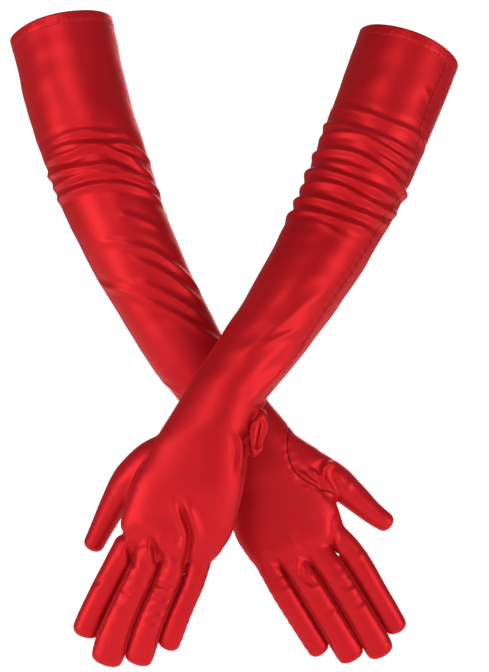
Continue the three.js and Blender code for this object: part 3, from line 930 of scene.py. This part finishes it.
# %% The finished surface of both gloves
def folded(hand):
    """The skin with its webs eased, its fingers filled, and its folds and seams moved out and in."""
    points, quads = SKINS[hand]
    chart = CHARTS[hand]
    points = softened_webs(hand, points, quads, chart)
    points = filled_out(hand, points, chart)
    normals = point_normals(points, quads)
    raised = fold_height(hand, chart, points, normals) + seam_groove(SEAMS[hand], chart)
    points = points + normals * eased(raised, quads, 1)[:, None]
    points = eased(points, quads, 1)
    return points, quads, point_normals(points, quads)


FOLDED = {hand: folded(hand) for hand in GLOVES}
print("folded:", {hand: len(skin[0]) for hand, skin in FOLDED.items()})

# %% [markdown]
# ## Materials
#
# Satin floats its threads over several others, which makes it smooth along the glove and gives it
# a broad soft gloss tinted by the dye. A glossy plastic would have a white highlight and a matt
# cloth would have none, so the shader is half metallic, which tints its gloss, and fairly rough.
# The weave runs with the glove: its coordinates are the distance around and along each limb, kept
# as a UV map in metres.


# %% A short way to add a node
def new_node(tree, kind, inputs=None, **settings):
    node = tree.nodes.new(kind)
    for key, value in settings.items():
        setattr(node, key, value)
    for key, value in (inputs or {}).items():
        if isinstance(value, bpy.types.NodeSocket):
            tree.links.new(value, node.inputs[key])
        else:
            node.inputs[key].default_value = value
    return node


# %% The line of a seam: its bump, and the painted shade of its groove
def seam_line_bump_and_shade(tree):
    """1 on a seam's line and 0 elsewhere, from the nearest of the three signed distances; it drives the
    seam's bump and its painted shade.
    """
    nearest = None
    for name in ("seam_side", "seam_thumb", "seam_strip"):
        attribute = new_node(tree, "ShaderNodeAttribute", attribute_name=name)
        size = new_node(tree, "ShaderNodeMath", {0: attribute.outputs["Fac"]}, operation="ABSOLUTE")
        if nearest is None:
            nearest = size
        else:
            nearest = new_node(tree, "ShaderNodeMath", {0: nearest.outputs[0], 1: size.outputs[0]},
                               operation="MINIMUM")
    return new_node(tree, "ShaderNodeMapRange", {
        "Value": nearest.outputs[0], "From Min": 0.05, "From Max": 0.5, "To Min": 1.0, "To Max": 0.0,
    }, interpolation_type="SMOOTHSTEP")


# %% Satin
def satin(name, dark, light, metallic, roughness, weave=1.0):
    """Stretch satin: a base that drifts between two reds, a fine long weave, a tinted gloss, and painted
    shade along the seams' lines.
    """
    material = bpy.data.materials.new(name)
    material.use_nodes = True
    tree = material.node_tree
    shader = tree.nodes["Principled BSDF"]
    uv = new_node(tree, "ShaderNodeUVMap", uv_map="weave")
    place = new_node(tree, "ShaderNodeTexCoord")
    drift = new_node(tree, "ShaderNodeTexNoise", {
        "Vector": place.outputs["Object"], "Scale": 9, "Detail": 3})
    floats = new_node(tree, "ShaderNodeMapping", {
        "Vector": uv.outputs["UV"], "Scale": (2600, 420, 1)})
    thread = new_node(tree, "ShaderNodeTexNoise", {
        "Vector": floats.outputs[0], "Scale": 1, "Detail": 2})
    grain = new_node(tree, "ShaderNodeTexNoise", {
        "Vector": place.outputs["Object"], "Scale": 1250, "Detail": 2, "Roughness": 0.6})
    tone = new_node(tree, "ShaderNodeMix", {
        0: 0.35, 2: drift.outputs["Fac"], 3: grain.outputs["Fac"]})
    reds = new_node(tree, "ShaderNodeValToRGB", {"Fac": tone.outputs[0]})
    deep, bright = reds.color_ramp.elements
    deep.position = 0.3
    deep.color = (*dark, 1)
    bright.position = 0.7
    bright.color = (*light, 1)
    line = seam_line_bump_and_shade(tree)
    # Painted shade: along each seam's line the base colour darkens to a quarter of the deep red, standing in
    # for the shade in the seam's groove.
    shade = new_node(tree, "ShaderNodeMix", {
        "Factor": line.outputs[0], 6: reds.outputs["Color"], 7: (*[c * 0.25 for c in dark], 1)},
        data_type="RGBA")
    tree.links.new(shade.outputs[2], shader.inputs["Base Color"])
    height = new_node(tree, "ShaderNodeMix", {
        0: 0.5, 2: thread.outputs["Fac"], 3: grain.outputs["Fac"]})
    cloth = new_node(tree, "ShaderNodeBump", {
        "Strength": 0.32 * weave, "Distance": 0.00012, "Height": height.outputs[0]})
    sewn = new_node(tree, "ShaderNodeBump", {
        "Strength": 0.8, "Distance": 0.0006, "Height": line.outputs[0], "Normal": cloth.outputs[0]},
        invert=True)
    tree.links.new(sewn.outputs[0], shader.inputs["Normal"])
    rough = new_node(tree, "ShaderNodeMapRange", {
        "Value": thread.outputs["Fac"], "To Min": roughness - 0.05, "To Max": roughness + 0.06})
    tree.links.new(rough.outputs[0], shader.inputs["Roughness"])
    shader.inputs["Metallic"].default_value = metallic
    shader.inputs["Specular IOR Level"].default_value = 0.42
    shader.inputs["Specular Tint"].default_value = (1.0, 0.25, 0.25, 1)
    shader.inputs["Sheen Weight"].default_value = 0.16
    shader.inputs["Sheen Roughness"].default_value = 0.35
    shader.inputs["Sheen Tint"].default_value = (1.0, 0.12, 0.14, 1)
    return material


# %% Thread
def thread_material(name, colour, scale):
    """Matt spun thread: fine twisted ribs in its bump and a slight change of tone."""
    material = bpy.data.materials.new(name)
    material.use_nodes = True
    tree = material.node_tree
    shader = tree.nodes["Principled BSDF"]
    place = new_node(tree, "ShaderNodeTexCoord")
    ribs = new_node(tree, "ShaderNodeTexWave", {
        "Vector": place.outputs["Object"], "Scale": scale, "Distortion": 2.0}, bands_direction="DIAGONAL")
    tone = new_node(tree, "ShaderNodeValToRGB", {"Fac": ribs.outputs["Fac"]})
    tone.color_ramp.elements[0].color = (*[c * 0.6 for c in colour], 1)
    tone.color_ramp.elements[1].color = (*colour, 1)
    bump = new_node(tree, "ShaderNodeBump", {
        "Strength": 0.5, "Distance": 0.0002, "Height": ribs.outputs["Fac"]})
    tree.links.new(tone.outputs["Color"], shader.inputs["Base Color"])
    tree.links.new(bump.outputs[0], shader.inputs["Normal"])
    shader.inputs["Roughness"].default_value = 0.75
    return material


# %% The finishes
SATIN = satin("red_satin", (0.36, 0.004, 0.007), (0.49, 0.011, 0.017), 0.45, 0.43)
LINING = satin("satin_back", (0.30, 0.004, 0.007), (0.40, 0.008, 0.012), 0.05, 0.65, weave=1.6)
THREAD = thread_material("sewing_thread", (0.50, 0.015, 0.025), 900)
OVERLOCK = thread_material("overlock_thread", (0.42, 0.012, 0.02), 500)
ELASTIC = thread_material("braided_elastic", (0.8, 0.76, 0.74), 700)
print("materials:", [m.name for m in bpy.data.materials])

# %% [markdown]
# ## Parting the skin into the glove's pieces
#
# Every face goes to one piece. Pieces meet where both sides stay rigid in every pose, or along a
# real seam, and they share the same points there, so no gap can open. Cutting the skin at the
# joints' own planes would be simpler, but the cloth bends there and the cut would gape.

# %% Stray patches
THICKNESS = 0.7
SMALLEST_PATCH = 90


def without_islands(label, quads):
    """Patches of a piece with fewer faces than SMALLEST_PATCH take the piece around them."""
    names, code = np.unique(label.astype(str), return_inverse=True)
    pairs = np.sort(np.stack([quads, np.roll(quads, -1, axis=1)], -1).reshape(-1, 2), axis=1)
    order = np.lexsort(pairs.T)
    face = order // 4
    same = (pairs[order[1:]] == pairs[order[:-1]]).all(1)
    first, second = face[:-1][same], face[1:][same]
    for _ in range(4):
        joined = code[first] == code[second]
        patch = np.arange(len(quads))
        while True:
            lower = patch.copy()
            least = np.minimum(patch[first[joined]], patch[second[joined]])
            np.minimum.at(lower, first[joined], least)
            np.minimum.at(lower, second[joined], least)
            lower = lower[lower]
            if (lower == patch).all():
                break
            patch = lower
        small = np.bincount(patch, minlength=len(quads))[patch] < SMALLEST_PATCH
        for here, beside in ((first, second), (second, first)):
            taken = small[here] & ~small[beside]
            code[here[taken]] = code[beside[taken]]
    return names[code].astype(object)


# %% Which piece each face belongs to
def piece_labels(hand):
    """The name of the piece that each face belongs to."""
    chart, quads = CHARTS[hand], FOLDED[hand][1]
    crotch = LIMBS[hand]["arm"].length
    edges = {}
    for name, (back, half) in {"elbow": ELBOW, "wrist": WRIST, "knuckles": KNUCKLES}.items():
        reach = half + MARGIN[name]
        edges[name] = (crotch - back - reach, crotch - back + reach)
    cuts = [8.6, *edges["elbow"], *edges["wrist"], *edges["knuckles"]]
    sleeve = ["hem", "upper_sleeve", "elbow_folds", "forearm_sleeve", "wrist_folds", "palm",
              "knuckle_folds", "finger_roots"]
    s = chart.arm_s[quads].mean(1)
    label = np.array(sleeve, object)[np.searchsorted(cuts, s)]
    owner = np.array([np.bincount(row, minlength=6).argmax() for row in chart.limb[quads]])
    own = chart.limb[quads] == owner[:, None]
    own_s = (chart.s[quads] * own).sum(1) / own.sum(1)
    strip = (SEAMS[hand]["seam_strip"][quads] * own).sum(1) < 0
    thumbwards = GLOVES[hand]["thumb_side"] * math.pi / 2
    for number, name in enumerate(FINGERS):
        on = owner == number + 1
        bend, half = FINGER_BEND
        parts = np.array(["finger_roots", name + "_folds", name + "_stall"], object)
        reach = half + MARGIN["finger"]
        label[on] = parts[np.searchsorted([bend - reach, bend + reach], own_s[on])]
        turn = np.abs(turn_to(chart.angle[quads[:, 0]], thumbwards)) < math.pi / 2
        beyond = own_s > 14
        for side, neighbour in ((turn, number - 1), (~turn, number + 1)):
            if 0 <= neighbour < len(FINGERS):
                pair = "_".join(FINGERS[i] for i in sorted((number, neighbour)))
                label[on & strip & side & beyond] = f"{pair}_fourchette_on_{name}"
    bend, half = THUMB_BEND
    reach = half + MARGIN["thumb"]
    on = owner == 5
    parts = np.array(["thumb_gusset", "thumb_folds", "thumb_stall"], object)
    label[on] = parts[np.searchsorted([bend - reach, bend + reach], own_s[on])]
    in_loop = (SEAMS[hand]["seam_thumb"][quads].mean(1) < 0) & (owner == 0)
    label[in_loop] = "thumb_gusset"
    return without_islands(label, quads)


LABELS = {hand: piece_labels(hand) for hand in GLOVES}
for hand, label in LABELS.items():
    print(hand, {str(name): int((label == name).sum()) for name in sorted(set(label))})


# %% [markdown]
# The cloth is seen from both sides at the openings, satin outside and a duller back inside. Each
# piece gets an inner layer and a rim. A Solidify modifier would do that too, but would thicken
# each piece along its own border's normals, and neighbours would no longer meet.


# %% Cloth with two sides
def double_sided(name, hand, faces):
    """The skin's faces with a lining THICKNESS below them and a rim between, as one mesh."""
    points, quads, normals = FOLDED[hand]
    chart = CHARTS[hand]
    used, local = np.unique(quads[faces], return_inverse=True)
    local = local.reshape(-1, 4)
    outer, normal = points[used], normals[used]
    count = len(used)
    pairs = np.stack([local, np.roll(local, -1, axis=1)], -1).reshape(-1, 2)
    key = np.sort(pairs, axis=1)
    _, first, times = np.unique(key, axis=0, return_index=True, return_counts=True)
    open_edges = pairs[first[times == 1]]
    rim = np.stack([open_edges[:, 1], open_edges[:, 0], open_edges[:, 0] + count,
                    open_edges[:, 1] + count], 1)
    all_faces = np.vstack([local, local[:, ::-1] + count, rim])
    co = np.vstack([outer, outer - normal * THICKNESS]) * MM
    mesh = bpy.data.meshes.new(name)
    mesh.vertices.add(len(co))
    mesh.vertices.foreach_set("co", co.astype(np.float32).ravel())
    mesh.loops.add(all_faces.size)
    mesh.loops.foreach_set("vertex_index", all_faces.astype(np.int32).ravel())
    mesh.polygons.add(len(all_faces))
    mesh.polygons.foreach_set("loop_start", np.arange(0, all_faces.size, 4, dtype=np.int32))
    mesh.update(calc_edges=True)
    mesh.materials.append(SATIN)
    mesh.materials.append(LINING)
    slots = np.zeros(len(all_faces), np.int32)
    slots[len(local):2 * len(local)] = 1
    mesh.polygons.foreach_set("material_index", slots)
    mesh.polygons.foreach_set("use_smooth", np.ones(len(all_faces), bool))
    for key, values in SEAMS[hand].items():
        attribute = mesh.attributes.new(key, "FLOAT", "POINT")
        attribute.data.foreach_set("value", np.tile(values[used], 2).astype(np.float32))
    around = np.tile(chart.angle[used] * chart.radius[used], 2)[all_faces]
    along = np.tile(chart.s[used], 2)[all_faces]
    lap = 2 * math.pi * chart.radius[used].mean()
    around = np.where(around.max(1, keepdims=True) - around > lap / 2, around + lap, around)
    uv = np.stack([around, along], -1).reshape(-1, 2) * MM
    mesh.uv_layers.new(name="weave").data.foreach_set("uv", uv.astype(np.float32).ravel())
    mesh.normals_split_custom_set_from_vertices(np.vstack([normal, -normal]).tolist())
    made = bpy.data.objects.new(name, mesh)
    bpy.context.collection.objects.link(made)
    return made


# %% Which body each rigid piece rides on, and what each piece stands for
def bend_between(piece, hand, bodies, limb, centre, half):
    """Cloth that crosses a joint: the limb's centre is found at both ends of the bend, and the piece is
    baked in place, on neither body.
    """
    start, end = (limb.at(np.array([centre + way * half]))[0][0] * MM for way in (-1, 1))
    tuple(start)
    tuple(end)
    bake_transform(piece)


def finish_piece(piece, hand, label):
    """Attaches a rigid piece to its body or bakes a bending one in place, and hides the CAD node that the
    piece stands for.
    """
    limbs = LIMBS[hand]
    crotch = limbs["arm"].length
    rigid = {"upper_sleeve": "upper", "forearm_sleeve": "forearm", "palm": "hand",
             "thumb_gusset": "hand", "thumb_stall": "thumb", "finger_roots": "knuckles"}
    rigid.update({f"{name}_stall": name for name in FINGERS})
    bends = {
        "elbow_folds": (("upper", "forearm"), limbs["arm"], crotch - ELBOW[0], ELBOW[1]),
        "wrist_folds": (("forearm", "hand"), limbs["arm"], crotch - WRIST[0], WRIST[1]),
        "knuckle_folds": (("hand", "knuckles"), limbs["arm"], crotch - KNUCKLES[0], KNUCKLES[1]),
        "thumb_folds": (("hand", "thumb"), limbs["thumb"], *THUMB_BEND),
    }
    for name in FINGERS:
        bends[f"{name}_folds"] = (("knuckles", name), limbs[name], *FINGER_BEND)
    if "_fourchette_on_" in label:
        node, name = label.split("_on_")
        bend_between(piece, hand, ("knuckles", name), limbs[name], *FINGER_BEND)
        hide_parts(f"{hand}_{node}")
    else:
        if label in rigid:
            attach(piece, f"{hand}_{rigid[label]}")
        else:
            bend_between(piece, hand, *bends[label])
        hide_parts(f"{hand}_{label}")


# %% The satin pieces
for hand, label in LABELS.items():
    for name in sorted(set(label) - {"hem"}):
        piece = double_sided(f"satin_{hand}_{name}", hand, label == name)
        finish_piece(piece, hand, str(name))

# %% [markdown]
# ## The turned hem, its stitches and what lies inside
#
# The hem is a band folded inwards over an elastic, which holds the glove up on the arm. A bevelled
# curve could make it, but not the gathers or the pull of the stitches. Its outline is walked
# around once, from the outer edge, over the rolled top, to the inner edge and back, and carried
# around the opening.


# %% A mesh from an outline carried around
def wave_grid_object(name, rows, closed_rows, material):
    """A mesh from a grid of points (outline, around), closed around and, if asked, along it."""
    along, around = rows.shape[:2]
    steps = along if closed_rows else along - 1
    i, j = np.meshgrid(np.arange(steps), np.arange(around), indexing="ij")
    next_i, next_j = (i + 1) % along, (j + 1) % around
    faces = np.stack([i * around + j, i * around + next_j, next_i * around + next_j,
                      next_i * around + j], -1).reshape(-1, 4)
    mesh = bpy.data.meshes.new(name)
    mesh.from_pydata((rows.reshape(-1, 3) * MM).tolist(), [], faces.tolist())
    mesh.shade_smooth()
    mesh.materials.append(material)
    lengths = np.cumsum(np.linalg.norm(np.diff(rows[:, 0], axis=0, prepend=rows[:1, 0]), axis=1))
    u = np.stack([j, j + 1, j + 1, j], -1).reshape(-1) * 2 * math.pi * 42 / around
    v = np.append(lengths, lengths[-1] + 1)[np.stack([i, i, i + 1, i + 1], -1).reshape(-1)]
    layer = mesh.uv_layers.new(name="weave")
    layer.data.foreach_set("uv", (np.stack([u, v], -1) * MM).astype(np.float32).ravel())
    for key in ("seam_side", "seam_thumb", "seam_strip"):
        attribute = mesh.attributes.new(key, "FLOAT", "POINT")
        attribute.data.foreach_set("value", np.full(len(mesh.vertices), FAR, np.float32))
    shell = bmesh.new()
    shell.from_mesh(mesh)
    bmesh.ops.recalc_face_normals(shell, faces=shell.faces)
    shell.to_mesh(mesh)
    shell.free()
    made = bpy.data.objects.new(name, mesh)
    bpy.context.collection.objects.link(made)
    return made


# %% The hem
def opening_waves(arm, s, angle):
    """The sleeve's slow waves, so that the hem lies flush with the sleeve below it."""
    base = arm.surface(s, angle)
    free = smoothstep((arm.length - s) / 60) * 0.75 + 0.25
    return (slow_waves(base, 5, *LONG_WAVES) + slow_waves(base, 6, *SHORT_WAVES)) * free


def hem(hand):
    """The outline is (inset, s): down the outside, around the rolled top, and up the turned inside."""
    arm = LIMBS[hand]["arm"]
    down = np.linspace(9.6, 1.6, 12)
    roll = np.linspace(0, math.pi, 12)
    outer = np.stack([np.full(12, -0.22), down], 1)
    top = np.stack([1.5 - 1.72 * np.cos(roll), 1.6 - 1.55 * np.sin(roll)], 1)
    inner = np.stack([np.full(10, 3.22), np.linspace(1.9, 10.4, 10)], 1)
    back = np.stack([np.full(10, 2.75), np.linspace(10.2, 2.2, 10)], 1)
    under = np.stack([1.55 - 1.2 * np.cos(roll[::-1]), 2.1 - 1.15 * np.sin(roll[::-1])], 1)
    close = np.stack([np.full(10, 0.38), np.linspace(2.4, 9.4, 10)], 1)
    outline = np.vstack([outer, top[1:], inner, back, under[1:-1], close])
    around = 420
    angle = np.linspace(0, 2 * math.pi, around, endpoint=False)
    inset, s = (np.repeat(outline[:, i], around) for i in (0, 1))
    angle = np.tile(angle, len(outline))
    gathers = 0.07 * np.sin(angle * 61) + 0.05 * np.sin(angle * 37 + 1)
    gathers = gathers + 0.07 * np.sin(angle * 23 + 2)
    near_stitches = np.exp(-((s - 7.6) / 3.0) ** 2)
    pull = -0.3 * np.exp(-((s - 8.3) / 0.8) ** 2) * (inset < 0)
    rise = opening_waves(arm, s, angle) + gathers * near_stitches + pull - inset
    lift = 0.35 * np.sin(angle * 3 + len(hand)) * (s < 6)
    rows = arm.surface(s + lift, angle, proud=rise).reshape(len(outline), around, 3)
    piece = wave_grid_object(f"satin_{hand}_top_hem", rows, True, SATIN)
    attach(piece, f"{hand}_upper")
    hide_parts(f"{hand}_top_hem")
    return piece


# %% The elastic
def braided_elastic(hand):
    """A flat band inside the hem, whose ribs are 0.09 sin of 130 turns around."""
    arm = LIMBS[hand]["arm"]
    outline = [(1.15, 2.6), (1.05, 3.4), (1.05, 5.0), (1.05, 6.8), (1.15, 7.9), (1.5, 8.3), (2.1, 8.3),
               (2.4, 7.9), (2.5, 6.8), (2.5, 5.0), (2.5, 3.4), (2.4, 2.7), (2.0, 2.3), (1.5, 2.3)]
    around = 520
    angle = np.tile(np.linspace(0, 2 * math.pi, around, endpoint=False), len(outline))
    inset, s = (np.repeat([place[i] for place in outline], around) for i in (0, 1))
    ribs = 0.09 * np.sin(angle * 130 + s * 2.2) * np.sign(1.8 - inset)
    rows = arm.surface(s, angle, proud=opening_waves(arm, s, angle) - inset + ribs)
    piece = wave_grid_object(f"{hand}_braided_elastic", rows.reshape(len(outline), around, 3), True, ELASTIC)
    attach(piece, f"{hand}_upper")
    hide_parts(f"{hand}_hem_elastic")
    return piece


# %% The stitches
def capsule(length, radius, sides=8, rings=4):
    """A short round-ended rod along X: the circle (cos t, sin t) drawn in towards each end."""
    turn = np.linspace(0, math.pi, 2 * rings + 1)[1:-1]
    x = -np.cos(turn) * radius + np.sign(-np.cos(turn)) * (length / 2 - radius)
    r = np.sin(turn) * radius
    angle = np.linspace(0, 2 * math.pi, sides, endpoint=False)
    body = np.stack([np.repeat(x, sides), np.outer(r, np.cos(angle)).ravel(),
                     np.outer(r, np.sin(angle)).ravel()], 1)
    points = np.vstack([body, [[-length / 2, 0, 0], [length / 2, 0, 0]]])
    rows = len(x)
    faces = [[i * sides + j, i * sides + (j + 1) % sides, (i + 1) * sides + (j + 1) % sides,
              (i + 1) * sides + j] for i in range(rows - 1) for j in range(sides)]
    first, last = len(points) - 2, len(points) - 1
    faces += [[first, (j + 1) % sides, j] for j in range(sides)]
    faces += [[last, (rows - 1) * sides + j, (rows - 1) * sides + (j + 1) % sides] for j in range(sides)]
    return points, faces


def hem_stitches(hand, count=104, place=8.3, length=1.9, radius=0.24):
    """A row of short stitches, each sunk a little into the hem, as one mesh."""
    arm = LIMBS[hand]["arm"]
    shape, shape_faces = capsule(length, radius)
    points, faces = [], []
    for number in range(count):
        angle = np.array([2 * math.pi * number / count, 2 * math.pi * (number + 0.4) / count])
        s = np.full(2, place + 0.08 * math.sin(number * 2.1))
        here, ahead = arm.surface(s, angle, proud=opening_waves(arm, s, angle) - 0.12)
        forward = unit(ahead - here)
        centre = arm.at(s)[0][0]
        outward = unit(here - centre - forward * ((here - centre) @ forward))
        across = np.cross(outward, forward)
        base = sum(len(p) for p in points)
        points.append(here + shape @ np.stack([forward, across, outward]))
        faces += [[v + base for v in face] for face in shape_faces]
    mesh = bpy.data.meshes.new(f"{hand}_hem_stitches")
    mesh.from_pydata((np.vstack(points) * MM).tolist(), [], faces)
    mesh.shade_smooth()
    mesh.materials.append(THREAD)
    piece = bpy.data.objects.new(mesh.name, mesh)
    bpy.context.collection.objects.link(piece)
    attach(piece, f"{hand}_upper")
    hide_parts(f"{hand}_hem_stitching")
    return piece


# %% Both openings
for hand in GLOVES:
    hem(hand)
    braided_elastic(hand)
    print(hand, "stitches:", len(hem_stitches(hand).data.vertices), "points")


# %% [markdown]
# The seam allowance hangs inside each sleeve along the side seam, held edge to edge by an
# overlock stitch that loops over it. It is seen only through the opening, so the loops are ripples
# on the strip's edge: modelled threads would cost thousands of faces that nobody sees.


# %% One stretch of seam allowance
def overlocked_allowance(name, hand, start, end, body):
    """A strip 4.5 mm tall that leans over inside the seam, with its edge rippled by the thread."""
    arm = LIMBS[hand]["arm"]
    table = np.array(SIDE_SEAM[hand], float)
    s = np.arange(start, end, 0.9)
    target = np.radians(np.interp(s, table[:, 0], table[:, 1]))
    lean = 0.35 * np.sin(s * 0.21) + 0.9
    profile = [(-0.5, 0.9), (-0.2, 2.2), (1.6, 3.1), (3.6, 3.3), (4.6, 3.2), (4.6, 2.7), (3.4, 2.6),
               (1.4, 2.3), (0.6, 1.6), (0.2, 0.9)]
    loops = 0.28 * (1 + np.sin(s * 2 * math.pi / 2.2))
    rows = []
    for around, inset in profile:
        edge = loops if around > 1 else 0
        angle = target + (around * lean + edge) / 42
        rows.append(arm.surface(s, angle, proud=-(inset + 0.12 * np.sin(s * 0.9))))
    grid = np.stack(rows, 0)
    count = len(profile)
    i, j = np.meshgrid(np.arange(count), np.arange(len(s) - 1), indexing="ij")
    nxt = (i + 1) % count
    here, ahead = i * len(s) + j, nxt * len(s) + j
    faces = np.stack([here, ahead, ahead + 1, here + 1], -1)
    first_cap = [k * len(s) for k in range(count)]
    last_cap = [k * len(s) + len(s) - 1 for k in reversed(range(count))]
    caps = [first_cap, last_cap]
    mesh = bpy.data.meshes.new(name)
    mesh.from_pydata((grid.reshape(-1, 3) * MM).tolist(), [], [*faces.reshape(-1, 4).tolist(), *caps])
    mesh.shade_smooth()
    mesh.materials.append(OVERLOCK)
    piece = bpy.data.objects.new(name, mesh)
    bpy.context.collection.objects.link(piece)
    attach(piece, f"{hand}_{body}")
    return piece


# %% The seam allowances of both sleeves
for hand, limbs in LIMBS.items():
    crotch = limbs["arm"].length
    elbow_from, elbow_to = crotch - ELBOW[0] - ELBOW[1], crotch - ELBOW[0] + ELBOW[1]
    wrist_from = crotch - WRIST[0] - WRIST[1]
    spans = {"upper": (14, elbow_from - 3), "forearm": (elbow_to + 3, wrist_from - 3)}
    for body, (start, end) in spans.items():
        piece = overlocked_allowance(f"{hand}_{body}_overlock", hand, start, end, body)
        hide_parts(f"{hand}_{body}_seam")
